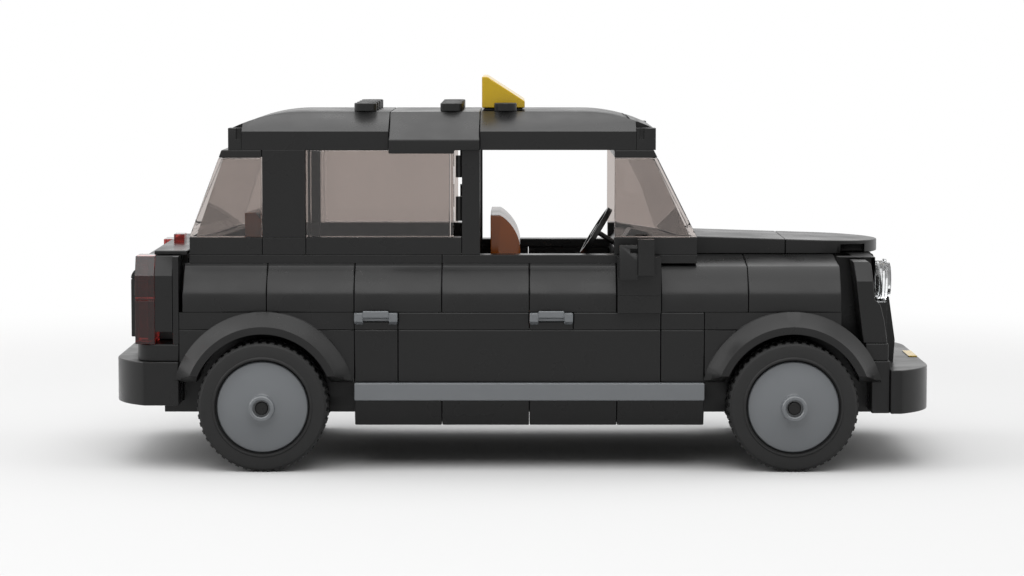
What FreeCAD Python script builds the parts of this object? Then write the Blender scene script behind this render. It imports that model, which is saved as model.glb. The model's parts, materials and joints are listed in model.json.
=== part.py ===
"""A brick-built toy taxi cab: studded plates, panels and curved slopes on four turning wheels.

+X points to the front, +Y to the car's left, +Z up; the origin is on the ground under the middle.
Lengths are millimetres. Along the car, places are counted in studs from the rear or the front edge
of the door bay; upwards they are counted in plates from the underside of the sills.
"""

import FreeCAD, Part
import math
import os

import Sketcher

DOC = FreeCAD.newDocument("toy_taxi_cab")
DIMS = DOC.addObject("Spreadsheet::Sheet", "dims")

# name, millimetres
DRIVING = (
    ("pitch", 8.0),            # stud to stud
    ("plate", 3.2),            # height of one plate
    ("stud_diameter", 4.8),
    ("tube_diameter", 6.5),    # tubes inside the hollow underside of a plate
    ("hollow", 1.6),           # depth of that hollow
    ("hollow_wall", 1.5),
    ("gap", 0.1),              # each piece stops this far inside its grid cell
    ("bay_length", 128.0),     # door bay, from rear arch to front arch
    ("bay_shift", 2.4),        # middle of the bay, ahead of the middle of the car
    ("body_width", 112.0),
    ("cabin_width", 96.0),
    ("chassis_width", 80.0),
    ("wall", 8.0),             # side walls, one stud thick
    ("axle_rise", 7.75),       # axles, above the underside of the sills
    ("sill_tuck", 2.4),        # how far the sill's foot hides under the body
    ("strip_proud", 3.2),      # side strip, out from the body side
    ("handle_proud", 3.4),     # handle bar, out from the body side
    ("handle_depth", 1.6),     # thickness of the bar and of its end tabs
    ("belt_lip", 6.4),         # upright foot of the belt's curved slopes
    ("belt_radius", 26.0),     # bend of the curved slopes
    ("belt_rise", 2.8),        # from the end of the bend to the crown
    ("waist_drop", 1.8),       # waist bricks start this far below the crown
    ("window_rise", 32.0),     # waist bricks to roof
    ("header", 2.8),           # dark band above each screen
    ("glass", 1.6),
    ("knuckle", 1.3),          # radius of the hinge knuckles beside the rear side windows
    ("roof_rise", 13.6),
    ("roof_band", 6.8),        # upright edge of the roof
    ("roof_slope", 16.0),      # width of the roof's sloping shoulder
    ("roof_bend", 60.0),       # radius of the roof's front and rear ends
    ("roof_end", 27.0),        # length of each bent end
    ("roof_wall", 6.0),
    ("cover_proud", 3.0),      # middle of the roof, out from the rest
    ("cover_skirt", 1.2),      # its lower edge, below the roof
    ("corner_rise", 8.0),      # blocks at the four corners of the roof
    ("corner_notch", 1.8),
    ("tile_diameter", 8.4),
    ("sign_base", 1.2),
    ("sign_rise", 12.8),
    ("sign_lip", 3.7),         # front edge of the sign
    ("bonnet_edge", 6.6),      # height of the bonnet at the windscreen
    ("bonnet_fall", 2.2),      # how much lower its nose is
    ("bonnet_nose", 24.5),     # radius of the nose, seen from above
    ("lamp_diameter", 15.6),
    ("lamp_bevel", 1.4),
    ("slat", 1.6),             # slots and bars of the grille
    ("tyre_diameter", 47.5),
    ("tyre_width", 20.0),
    ("tyre_face_y", 65.0),     # outer face of the tyre
    ("tyre_round", 2.0),       # its shoulders
    ("rim_diameter", 33.2),
    ("rim_sink", 1.5),         # edge of the wheel disc, inside the tyre face
    ("rim_wall", 1.6),
    ("disc_crown", 1.0),       # middle of the disc, outside the tyre face
    ("ring_proud", 4.5),       # hub ring, out from the tyre face
    ("ring_diameter", 9.2),
    ("ring_hole", 6.2),
    ("pin_sink", 1.5),         # end of the axle, inside the ring
    ("axle_diameter", 4.8),
    ("running_gap", 0.05),     # axle to bore, on the radius
    ("axle_back", 1.1),        # rear axle, behind the middle of its arch block
    ("arch_lift", 0.8),        # middle of the wheel well, above the axle
    ("arch_gap", 2.05),        # tyre to wheel well
    ("arch_flare", 7.7),       # width of the flare on the body side
    ("arch_edge", 2.65),       # width of the flare's outer face
    ("arch_trim", 3.4),        # rise of the flare's cut lower end towards its outer face
    ("arch_wall", 2.8),        # arch block where no wall fills its corner
    ("arch_proud", 8.0),
    ("bumper_rise", 16.0),
    ("bumper_corner", 24.0),   # width of each rounded corner
    ("bumper_proud", 2.0),
    ("front_bumper_lift", 4.6),    # bumpers, above the underside of the sills
    ("rear_bumper_lift", 7.6),
    ("groove", 1.2),           # depth of the seam between the light column and its post
    ("shoulder", 7.0),         # height of the sloping shoulders over the lamps
    ("lid_lift", 1.3),         # underside of the boot lid, above the crown of the belt
    ("lid_rise", 1.6),
    ("steer_diameter", 20.0),
    ("steer_rim", 1.9),
    ("steer_tilt", 32.0),      # degrees from upright
)


def fill_sheet():
    """Write the driving sizes into the sheet, one named cell each."""
    for row, (name, value) in enumerate(DRIVING, 1):
        DIMS.set("A%d" % row, name)
        DIMS.set("B%d" % row, str(value))
        DIMS.setAlias("B%d" % row, name)
    DOC.recompute()


# --- places on the grid, as expressions over the sheet -------------------------------------------

def aft(studs):
    """X of a stud line counted forward from the rear edge of the door bay."""
    return "(dims.bay_shift - dims.bay_length / 2 + (%s) * dims.pitch)" % studs


def fore(studs):
    """X of a stud line counted forward from the front edge of the door bay."""
    return "(dims.bay_shift + dims.bay_length / 2 + (%s) * dims.pitch)" % studs


def level(plates):
    """Z of a layer counted up from the underside of the sills."""
    return "(dims.tyre_diameter / 2 - dims.axle_rise + (%s) * dims.plate)" % plates


def studs(count):
    """Length of some studs."""
    return "((%s) * dims.pitch)" % count


def plates(count):
    """Height of some plates."""
    return "((%s) * dims.plate)" % count


AXLE_Z = "(dims.tyre_diameter / 2)"
AXLES = {"rear": "(%s - dims.axle_back)" % aft(-4), "front": fore(4)}
AXLE_BAYS = ((aft(-8), aft(0)), (fore(0), fore(8)))
SIDES = {"right": -1, "left": 1}
BODY_Y = "(dims.body_width / 2)"
CABIN_Y = "(dims.cabin_width / 2)"
CABIN_INNER_Y = "(%s - dims.wall)" % CABIN_Y
CHASSIS_Y = "(dims.chassis_width / 2)"
BELT_Z = level(13)
CROWN_Z = level(19)
WAIST_Z = "(%s - dims.waist_drop)" % CROWN_Z
BRICK_Z = "(%s + dims.plate)" % WAIST_Z
GLASS_Z = "(%s + 3 * dims.plate)" % WAIST_Z
ROOF_Z = "(%s + dims.window_rise)" % GLASS_Z
HEADER_Z = "(%s - dims.header)" % ROOF_Z
ROOF_TOP = "(%s + dims.roof_rise)" % ROOF_Z
FRONT_BUMPER_Z = "(%s + dims.front_bumper_lift)" % level(0)
REAR_BUMPER_Z = "(%s + dims.rear_bumper_lift)" % level(0)
LID_Z = "(%s + dims.lid_lift)" % CROWN_Z
ARCH_INNER = "(dims.tyre_diameter / 2 + dims.arch_gap)"
ARCH_FOOT = "(%s + dims.arch_flare)" % ARCH_INNER
ARCH_LIP = "(%s + dims.arch_edge)" % ARCH_INNER
ARCH_BACK = "(%s + dims.arch_wall)" % ARCH_INNER


# --- drawing helpers -----------------------------------------------------------------------------

def value(expression):
    """The number that an expression has now."""
    result = DIMS.evalExpression(expression)
    return float(getattr(result, "Value", result))


def new_piece(label, x="0", y="0", z="0"):
    """A body with its own label, placed at three expressions."""
    body = DOC.addObject("PartDesign::Body", label)
    body.Label = label
    for axis, place in zip("xyz", (x, y, z)):
        body.setExpression("Placement.Base." + axis, place)
    return body


def origin_plane(body, role):
    """One of the body's own origin planes."""
    return next(item for item in body.Origin.OriginFeatures if item.Role == role)


def block(u0, v0, u1, v1):
    """Corners of a rectangle."""
    return [(u0, v0), (u1, v0), (u1, v1), (u0, v1)]


def arc_between(start, end, radius):
    """Circle arc from start to end: a positive radius turns left, a negative one right."""
    chord = end.sub(start)
    half = chord.Length / 2
    size = abs(radius)
    height = math.sqrt(max(size * size - half * half, 0.0))
    left = FreeCAD.Vector(-chord.y, chord.x, 0).normalize()
    centre = start.add(end).multiply(0.5).add(left.multiply(math.copysign(height, radius)))
    first, last = (start, end) if radius > 0 else (end, start)
    angles = [math.atan2(point.y - centre.y, point.x - centre.x) for point in (first, last)]
    circle = Part.Circle(centre, FreeCAD.Vector(0, 0, 1), size)
    return Part.ArcOfCircle(circle, angles[0], angles[1])


def draw(sketch, corners):
    """Close an outline: each corner is (u, v), or (u, v, radius) to bend the edge that leaves it."""
    places = [FreeCAD.Vector(value(c[0]), value(c[1]), 0) for c in corners]
    radii = [c[2] if len(c) > 2 else None for c in corners]
    ends = []
    for index, radius in enumerate(radii):
        start = places[index]
        end = places[(index + 1) % len(places)]
        if radius is None:
            edge = sketch.addGeometry(Part.LineSegment(start, end), False)
            ends.append((edge, 1, 2))
        else:
            bend = value(radius)
            edge = sketch.addGeometry(arc_between(start, end, bend), False)
            ends.append((edge, 1, 2) if bend > 0 else (edge, 2, 1))
            constrain(sketch, Sketcher.Constraint("Radius", edge, abs(bend)), "abs(%s)" % radius)
    for index, (edge, first, last) in enumerate(ends):
        following = ends[(index + 1) % len(ends)]
        sketch.addConstraint(Sketcher.Constraint("Coincident", edge, last, following[0], following[1]))
        for kind, number, text in (("DistanceX", places[index].x, corners[index][0]),
                                   ("DistanceY", places[index].y, corners[index][1])):
            constrain(sketch, Sketcher.Constraint(kind, -1, 1, edge, first, number), text)


def constrain(sketch, constraint, expression):
    """Add a size to a sketch and bind it to its expression."""
    index = sketch.addConstraint(constraint)
    sketch.setExpression("Constraints[%d]" % index, str(expression))


def draw_circle(sketch, u, v, radius):
    """A circle whose centre and radius follow expressions."""
    centre = FreeCAD.Vector(value(u), value(v), 0)
    circle = Part.Circle(centre, FreeCAD.Vector(0, 0, 1), value(radius))
    edge = sketch.addGeometry(circle, False)
    constrain(sketch, Sketcher.Constraint("DistanceX", -1, 1, edge, 3, centre.x), u)
    constrain(sketch, Sketcher.Constraint("DistanceY", -1, 1, edge, 3, centre.y), v)
    constrain(sketch, Sketcher.Constraint("Radius", edge, value(radius)), radius)


# axis the sketch is swept along: its plane, the sign of the plane's normal, pad and pocket reversed
SWEEP = {
    "x": ("YZ_Plane", 1, False, True),
    "y": ("XZ_Plane", -1, True, False),
    "z": ("XY_Plane", 1, False, True),
}


def new_sketch(body, axis, start, outlines, circles=()):
    """A sketch square to an axis, at a place along it."""
    plane, sign, _, _ = SWEEP[axis]
    sketch = body.newObject("Sketcher::SketchObject", "outline")
    sketch.AttachmentSupport = [(origin_plane(body, plane), "")]
    sketch.MapMode = "FlatFace"
    sketch.setExpression("AttachmentOffset.Base.z", "%d * (%s)" % (sign, start))
    for corners in outlines:
        draw(sketch, corners)
    for u, v, radius in circles:
        draw_circle(sketch, u, v, radius)
    return sketch


def pad(body, axis, start, end, *outlines, circles=()):
    """Add material between two places on an axis."""
    feature = body.newObject("PartDesign::Pad", "pad")
    feature.Profile = new_sketch(body, axis, start, outlines, circles)
    feature.Reversed = SWEEP[axis][2]
    feature.setExpression("Length", "(%s) - (%s)" % (end, start))
    return feature


def cut(body, axis, start, end, *outlines, circles=()):
    """Take material away between two places on an axis."""
    feature = body.newObject("PartDesign::Pocket", "cut")
    feature.Profile = new_sketch(body, axis, start, outlines, circles)
    feature.Reversed = SWEEP[axis][3]
    feature.setExpression("Length", "(%s) - (%s)" % (end, start))
    return feature


def revolve(body, corners):
    """Turn an outline of (y, radius) corners about the body's Y axis."""
    feature = body.newObject("PartDesign::Revolution", "turned")
    sketch = new_sketch(body, "x", "0", [corners])
    feature.Profile = sketch
    feature.ReferenceAxis = (sketch, ["H_Axis"])
    feature.Angle = 360
    return feature


def copy_across(body, features, plane="XZ_Plane"):
    """Mirror features to the other side of one of the body's origin planes."""
    DOC.recompute()
    feature = body.newObject("PartDesign::Mirrored", "mirrored")
    feature.Originals = features
    feature.MirrorPlane = (origin_plane(body, plane), [""])
    body.Tip = feature
    return feature


def outward(side, inner, outer):
    """Start and end along Y of what lies between two distances from the middle, on one side."""
    if side < 0:
        return "-(%s)" % outer, "-(%s)" % inner
    return str(inner), str(outer)


def inside(start, end):
    """Pull a span in by the gap that neighbours leave between them."""
    return "%s + dims.gap" % start, "%s - dims.gap" % end


# --- underbody -----------------------------------------------------------------------------------

def make_chassis():
    """Long tray with the bearings that hold both axles; its plates are hollow underneath."""
    body = new_piece("chassis", z=level(1))
    rear, front = inside(aft(-8), fore(8))
    rise = plates(2)
    pad(body, "z", "0", rise, block(rear, "-" + CHASSIS_Y, front, CHASSIS_Y))
    tongue = "(%s - %s)" % (REAR_BUMPER_Z, level(1))
    pad(body, "z", "0", tongue, block(aft("-8.9"), "-" + CHASSIS_Y, rear, CHASSIS_Y))
    for ends in AXLE_BAYS:
        foot, top = inside(*ends)
        for side in SIDES.values():
            start, end = outward(side, "%s - 2 * dims.pitch" % CHASSIS_Y, CHASSIS_Y)
            pad(body, "z", rise, plates(4), block(foot, start, top, end))
    axle_z = "%s - %s" % (AXLE_Z, level(1))
    bore = "dims.axle_diameter / 2 + dims.running_gap"
    cut(body, "y", "-" + CHASSIS_Y, CHASSIS_Y,
        circles=[(axle_x, axle_z, bore) for axle_x in AXLES.values()])
    sockets = (aft(2), fore(-2))
    reach = "(%s - dims.hollow_wall)" % CHASSIS_Y
    for first, last in ((aft(-8), aft(0)), (aft(0), fore(0)), (fore(0), fore(8))):
        start, end = "%s + dims.hollow_wall" % first, "%s - dims.hollow_wall" % last
        tubes = [(place, "0", "dims.tube_diameter / 2") for place in sockets if first == aft(0)]
        cut(body, "z", "0", "dims.hollow", block(start, "-" + reach, end, reach), circles=tubes)
    cut(body, "z", "0", plates(1.5), circles=[(place, "0", "dims.stud_diameter / 2") for place in sockets])


def make_floor():
    """Two plates between the side strips, carrying the seats, and the decks over the axles."""
    body = new_piece("cabin_floor", z=level(3))
    inner = "(%s - dims.wall)" % BODY_Y
    start, end = inside(aft(0), fore(0))
    pad(body, "z", "0", plates(2), block(start, "-" + inner, end, inner))
    for rear, front in AXLE_BAYS:
        start, end = inside(rear, front)
        pad(body, "z", plates(2), plates(3), block(start, "-" + CHASSIS_Y, end, CHASSIS_Y))


def make_axles():
    """One plain rod to each pair of wheels."""
    for name, axle_x in AXLES.items():
        body = new_piece(name + "_axle", x=axle_x, z=AXLE_Z)
        reach = "(dims.tyre_face_y + dims.ring_proud - dims.pin_sink)"
        pad(body, "y", "-" + reach, reach, circles=[("0", "0", "dims.axle_diameter / 2")])


def make_sills():
    """Four inverted slopes a side, hanging under the door bay."""
    body = new_piece("sills", z=level(0))
    rise = plates(3)
    foot = "%s - dims.sill_tuck" % BODY_Y
    profile = [(CHASSIS_Y, "0"), (foot, "0"), (BODY_Y, "0.75 * " + rise), (BODY_Y, rise), (CHASSIS_Y, rise)]
    edges = ["%s + %d * dims.bay_length / 4" % (aft(0), index) for index in range(5)]
    pads = [pad(body, "x", *inside(rear, front), profile) for rear, front in zip(edges, edges[1:])]
    copy_across(body, pads)


def make_side_strips():
    """Grey two-plate strips that stand out above the sills."""
    body = new_piece("side_strips", z=level(3))
    start, end = inside(aft(0), fore(0))
    strip = pad(body, "z", "0", plates(2),
                block(start, "%s - dims.wall + dims.gap" % BODY_Y, end, "%s + dims.strip_proud" % BODY_Y))
    copy_across(body, [strip])


# --- side walls ----------------------------------------------------------------------------------

def wall_block(first, last):
    """Plan outline of a left wall brick between two places along the car."""
    start, end = inside(first, last)
    return block(start, "%s - dims.wall" % BODY_Y, end, BODY_Y)


def make_door_panels():
    """Long smooth panels that close the door bay, one to each side."""
    for name, side in SIDES.items():
        body = new_piece("door_panel_" + name, z=level(5))
        low, high = outward(side, "%s - dims.wall" % BODY_Y, BODY_Y)
        start, end = inside(aft(2), fore(-2))
        pad(body, "z", "0", plates(6), block(start, low, end, high))


def make_bay_ends():
    """Short panels between the door panel and each arch."""
    body = new_piece("bay_end_panels", z=level(5))
    pads = [pad(body, "z", "0", plates(6), wall_block(*ends))
            for ends in ((aft(0), aft(2)), (fore(-2), fore(0)))]
    copy_across(body, pads)


# start and end of each handle along the bay
HANDLES = ((aft(0), aft(2)), (aft(8), aft(10)))
HANDLE_ROW = ((aft(2), aft(8)), (aft(10), fore(-2)), (fore(-2), fore(0)))


def make_handle_rows():
    """Bricks between the handles, and the plates under them."""
    body = new_piece("handle_rows", z=level(11))
    pads = [pad(body, "z", "0", plates(2), wall_block(*ends)) for ends in HANDLE_ROW]
    pads += [pad(body, "z", "0", plates(1) + " - dims.gap", wall_block(*ends)) for ends in HANDLES]
    copy_across(body, pads)


def make_door_handles():
    """Handle plates: a tab at each end carries a bar that stands off the face."""
    body = new_piece("door_handles", z=level(12))
    face = "(%s + dims.handle_proud)" % BODY_Y
    back = "(%s - dims.handle_depth)" % face
    tab = plates(1)
    tab_face = "(%s - 0.4 * dims.handle_depth)" % face
    bar_top = "(dims.plate + 0.5 * dims.handle_depth)"
    pads = []
    for first, last in HANDLES:
        start, end = inside(first, last)
        pads.append(pad(body, "z", "0", plates(1), wall_block(first, last)))
        for left, right in ((start, "%s + %s" % (start, tab)), ("%s - %s" % (end, tab), end)):
            pads.append(pad(body, "x", left, right, [
                (BODY_Y, "-0.4 * dims.plate"), (tab_face, "0"), (tab_face, plates(1)), (BODY_Y, plates(1))]))
        pads.append(pad(body, "x", "%s + %s" % (start, tab), "%s - %s" % (end, tab), [
            (back, "0.3 * dims.plate"), (face, "0.5 * dims.plate"), (face, bar_top), (back, bar_top)]))
    copy_across(body, pads)


def belt_outline(side, inner):
    """Section of a curved slope: an upright lip, a bend, then a gentle rise to the crown."""
    rise = plates(6)
    bend_y = "(%s - dims.wall)" % BODY_Y
    sign = "%d * " % side
    corners = [
        (sign + BODY_Y, "0"),
        (sign + BODY_Y, "dims.belt_lip", "%d * dims.belt_radius" % side),
        (sign + bend_y, "%s - dims.belt_rise" % rise),
    ]
    step = "%s - dims.waist_drop" % rise
    if inner == bend_y:
        return corners + [(sign + bend_y, step), (sign + CHASSIS_Y, step), (sign + CHASSIS_Y, "0")]
    return corners + [
        (sign + CABIN_INNER_Y, step), (sign + inner, rise), (sign + inner, plates(4)),
        (sign + CHASSIS_Y, plates(4)), (sign + CHASSIS_Y, "0")]


# rear and front end of each curved slope beside the cabin and beside the bonnet
BELT_CABIN = (
    (aft("-7.85"), aft(-4)), (aft(-4), aft(0)), (aft(0), aft(4)), (aft(4), aft(8)), (aft(8), fore(-4)))
BELT_BONNET = ((fore(-2), fore(2)), (fore(2), fore("6.25")))


def make_belts():
    """Curved slopes below the windows, and the wider ones that shoulder the bonnet."""
    bend_y = "(%s - dims.wall)" % BODY_Y
    for name, side in SIDES.items():
        body = new_piece("belt_" + name, z=BELT_Z)
        for spans, inner in ((BELT_CABIN, bend_y), (BELT_BONNET, studs(3))):
            for rear, front in spans:
                start, end = inside(rear, front)
                pad(body, "x", start, end, belt_outline(side, inner))


def make_mirrors():
    """Stacked blocks in the belt, with the clip and the tile of the door mirror on their face."""
    face = "(%s + dims.plate)" % BODY_Y
    for name, side in SIDES.items():
        body = new_piece("mirror_" + name, z=BELT_Z)
        start, end = inside(fore(-4), fore(-2))
        low, high = outward(side, CHASSIS_Y, face)
        pad(body, "z", "0", plates(2) + " - dims.gap", block(start, low, end, high))
        pad(body, "z", plates(2), plates("5.4"), block(start, low, end, high))
        low, high = outward(side, "%s + dims.gap" % CABIN_Y, face)
        pad(body, "z", plates("5.4"), plates("6.4"), block(start, low, end, high))
        back, front = outward(side, face, "%s + dims.plate" % face)
        sign = "%d * " % side
        split = "(%s + 0.91 * dims.pitch)" % start
        crest = sign + "(%s + 0.4 * dims.plate)" % face
        clip_top = plates("7.8")
        pad(body, "x", start + " + 0.07 * dims.pitch", split + " - dims.gap", [
            (sign + face, plates("3.9")), (sign + "(%s + dims.plate)" % face, plates("3.9")),
            (sign + "(%s + dims.plate)" % face, plates("5.8")), (crest, clip_top), (sign + face, clip_top)])
        tile_front = "%s + 1.4 * dims.plate" % face
        low, high = outward(side, face, tile_front)
        pad(body, "z", plates("4.4"), plates("8.5"), block(split, low, split + " + 0.74 * dims.pitch", high))
        cut(body, "z", plates("6.9"), plates("7.4"), block(
            split + " - 0.35 * dims.pitch", back, split + " - dims.gap", front))


def make_arches():
    """Mudguard blocks with a round wheel well and a flared lip."""
    flare_end = "(%s + dims.arch_proud)" % BODY_Y
    half = "(4 * dims.pitch - dims.gap)"
    middle_z = "(%s + dims.arch_lift)" % AXLE_Z
    foot = "(%s - %s)" % (level(5), middle_z)
    top = "(%s - %s)" % (BELT_Z, middle_z)
    shoulder = "(2.25 * dims.pitch - dims.gap)"
    back_x = "sqrt(%s ^ 2 - %s ^ 2)" % (ARCH_BACK, foot)
    back_z = "sqrt(%s ^ 2 - %s ^ 2)" % (ARCH_BACK, shoulder)
    outlines = {
        "rear": block("dims.axle_back - " + half, foot, "dims.axle_back + " + half, top),
        "front": [
            ("-" + half, foot), (back_x, foot, ARCH_BACK), (shoulder, back_z), (shoulder, top),
            ("-" + half, top)],
    }
    reach = "(%s + 1)" % ARCH_FOOT
    for end_name, axle_x in AXLES.items():
        for name, side in SIDES.items():
            body = new_piece("wheel_arch_%s_%s" % (end_name, name), x=axle_x, z=middle_z)
            sign = "%d * " % side
            start, end = outward(side, CHASSIS_Y, BODY_Y)
            pad(body, "y", start, end, outlines[end_name])
            revolve(body, [
                (sign + BODY_Y, ARCH_INNER), (sign + BODY_Y, ARCH_FOOT),
                (sign + flare_end, ARCH_LIP), (sign + flare_end, ARCH_INNER)])
            past_flare = sign + "(%s + 1)" % flare_end
            cut(body, "x", "-" + reach, reach, [
                (sign + BODY_Y, "-" + reach), (past_flare, "-" + reach),
                (past_flare, foot + " + dims.arch_trim"), (sign + BODY_Y, foot)])
            if end_name == "rear":
                start, end = outward(side, BODY_Y, "%s + dims.bumper_proud + dims.gap" % BODY_Y)
                cut(body, "y", start, end, block(
                    "-" + reach, "-" + reach, "dims.axle_back - 4 * dims.pitch", reach))
            start, end = outward(side, "%s + 3" % CHASSIS_Y, "%s + 1" % BODY_Y)
            cut(body, "y", start, end, circles=[("0", "0", ARCH_INNER)])


# --- cabin ---------------------------------------------------------------------------------------

PANE_FRONT = aft("4.55")
PILLARS = ((aft("-4.25"), aft("-2.25"), GLASS_Z), (aft("4.9"), aft("5.75"), BRICK_Z))
WAIST_STRIPS = ((aft("-7.6"), aft(4)), (aft(4), fore("-0.3")))
WAIST_BRICKS = ((aft("-7.6"), aft("-4.25")), (aft("-4.25"), aft("-2.25")), (aft("-2.25"), aft("4.9")),
                (fore("-4.1"), fore("-0.3")))
# foot and top of each hinge knuckle, above the waist
KNUCKLES = ((1.85, 4.65), (6.85, 9.35))


def make_cabin_sides():
    """Waist plates and bricks, pillars and hinge knuckles, one stud inside the belt."""
    for name, side in SIDES.items():
        body = new_piece("cabin_side_" + name)
        low, high = outward(side, CABIN_INNER_Y, CABIN_Y)
        for rear, front in WAIST_STRIPS:
            start, end = inside(rear, front)
            pad(body, "z", WAIST_Z, BRICK_Z + " - dims.gap", block(start, low, end, high))
        for rear, front in WAIST_BRICKS:
            start, end = inside(rear, front)
            pad(body, "z", BRICK_Z, GLASS_Z + " - dims.gap", block(start, low, end, high))
        for rear, front, foot in PILLARS:
            start, end = inside(rear, front)
            pad(body, "z", foot, ROOF_Z, block(start, low, end, high))
        pin_y = "%d * (%s - 2 * dims.knuckle)" % (side, CABIN_Y)
        for foot, top in KNUCKLES:
            pad(body, "z", "%s + %s" % (GLASS_Z, plates(foot)), "%s + %s" % (GLASS_Z, plates(top)),
                circles=[(aft("4.9") + " - 0.7 * dims.knuckle", pin_y, "dims.knuckle")])


def make_side_windows():
    """Smoky panes between the pillars: a flat pane with an edge turned inwards at each end."""
    body = new_piece("side_windows")
    start, end = inside(aft("-2.25"), PANE_FRONT)
    outer = "%s - dims.gap" % CABIN_Y
    pane_back = "%s - dims.glass" % outer
    left, right = "%s + dims.glass" % start, "%s - dims.glass" % end
    pane = pad(body, "z", GLASS_Z, ROOF_Z, [
        (start, CABIN_INNER_Y), (left, CABIN_INNER_Y), (left, pane_back), (right, pane_back),
        (right, CABIN_INNER_Y), (end, CABIN_INNER_Y), (end, outer), (start, outer)])
    copy_across(body, [pane])


def make_screens():
    """Sloping screens with two side cheeks, open inside, under dark headers."""
    headers = new_piece("screen_headers")
    inner = "(%s - dims.glass)" % CABIN_Y
    screens = (
        ("windscreen", fore("-4.1"), fore("-0.3"), fore("-2.3"), -1),
        ("rear_window", aft("-4.25") + " - dims.gap", aft("-7.6"), aft("-6.1"), 1),
    )
    for label, back, foot, top, inward in screens:
        lean = "(%s - %s) / dims.window_rise" % (foot, top)
        eave = "(%s + %s * dims.header)" % (top, lean)
        pad(headers, "y", "-" + CABIN_Y, CABIN_Y, [
            (back, HEADER_Z), (eave, HEADER_Z), (top, ROOF_Z), (back, ROOF_Z)])
        body = new_piece(label)
        glass_top = HEADER_Z + " - dims.gap"
        pad(body, "y", "-" + CABIN_Y, CABIN_Y, [
            (back, GLASS_Z), (foot, GLASS_Z), (eave, glass_top), (back, glass_top)])
        thick = "%d * 1.3 * dims.glass" % inward
        past = "%s - %d" % (back, -inward)
        cut(body, "y", "-" + inner, inner, [
            (past, GLASS_Z + " - 1"), ("%s + %s" % (foot, thick), GLASS_Z + " - 1"),
            ("%s + %s" % (eave, thick), HEADER_Z + " + 1"), (past, HEADER_Z + " + 1")])


def make_scuttles():
    """Cross bricks that close the body under the windscreen and under the rear window."""
    body = new_piece("scuttles")
    reach = "(%s - dims.gap)" % CABIN_INNER_Y
    pad(body, "y", "-" + reach, reach, [
        (fore(-2), CROWN_Z), (fore("-0.3"), CROWN_Z), (fore("-0.3"), GLASS_Z + " - dims.gap"),
        (fore(-2), GLASS_Z + " - dims.gap")])
    pad(body, "y", "-" + reach, reach, [
        (aft("-7.6"), WAIST_Z), (aft("-6.6"), WAIST_Z), (aft("-6.6"), GLASS_Z + " - dims.gap"),
        (aft("-7.45"), GLASS_Z + " - dims.gap"), (aft("-7.6"), BRICK_Z + " + dims.plate")])


def roof_section(grow):
    """Section of the roof: upright edge, sloping shoulder, flat top."""
    edge = "(%s + %s)" % (CABIN_Y, grow)
    band = "dims.roof_band - %s" % grow
    crest = "(%s - dims.roof_slope)" % CABIN_Y
    return [("-" + edge, "0"), (edge, "0"), (edge, band), (crest, "dims.roof_rise"),
            ("-" + crest, "dims.roof_rise"), ("-" + edge, band)]


def roof_shell(label, start, end, grow="0"):
    """Length of roof, hollow underneath."""
    body = new_piece(label, z=ROOF_Z)
    pad(body, "x", start, end, roof_section(grow))
    hollow_y = "(%s - dims.roof_wall)" % CABIN_Y
    cut(body, "z", "-1", "dims.roof_band - %s" % grow,
        block("%s + dims.roof_wall" % start, "-" + hollow_y, "%s - dims.roof_wall" % end, hollow_y))
    return body


def roof_end(shell, corners, tip, toward, length):
    """Bend one end of the roof down and set a notched block into each of its corners."""
    def along(distance):
        return "(%s + %d * (%s))" % (tip, toward, distance)

    root = along("dims.roof_end")
    over = "dims.roof_rise + 2"
    low = "dims.roof_rise - dims.roof_end ^ 2 / dims.roof_bend / 2"
    reach = "(%s + dims.cover_proud)" % CABIN_Y
    cut(shell, "y", "-" + reach, reach, [
        (tip, over), (tip, low, "%d * dims.roof_bend" % -toward), (root, "dims.roof_rise"), (root, over)])
    relief = along("%s + dims.gap" % studs(length))
    cut(shell, "z", "-1", over, block(tip, CABIN_INNER_Y, relief, reach),
        block(tip, "-" + reach, relief, "-" + CABIN_INNER_Y))
    inner = CABIN_INNER_Y + " + dims.gap"
    cube = pad(corners, "z", "0", "dims.corner_rise", block(tip, inner, along(studs(length)), CABIN_Y))
    first, last = along("0.6 * " + studs(length)), along("0.6 * %s + dims.corner_notch" % studs(length))
    notch = cut(corners, "z", "dims.corner_rise / 2", "dims.corner_rise + 1",
                block(first, "%s - dims.corner_notch" % CABIN_Y, last, reach))
    return [cube, notch]


def make_roof():
    """Three roof shells: a proud cover in the middle and two ends that bend down to the screens."""
    rear, front = aft("1.55"), aft("5.74")
    start, end = inside(rear, front)
    cover = roof_shell("roof_centre", start, end, "dims.cover_proud")
    skirt = pad(cover, "z", "-dims.cover_skirt", "0", block(
        start, "%s + dims.gap" % CABIN_Y, "%s + %s" % (start, studs(3)), "%s + dims.cover_proud" % CABIN_Y))
    copy_across(cover, [skirt])
    corners = new_piece("roof_corners", z=ROOF_Z)
    start, end = inside(aft("-5.8"), rear)
    blocks = roof_end(roof_shell("roof_rear", start, end), corners, start, 1, "0.6")
    start, end = inside(front, fore("-2.2"))
    blocks += roof_end(roof_shell("roof_front", start, end), corners, end, -1, "0.88")
    copy_across(corners, blocks)


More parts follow.
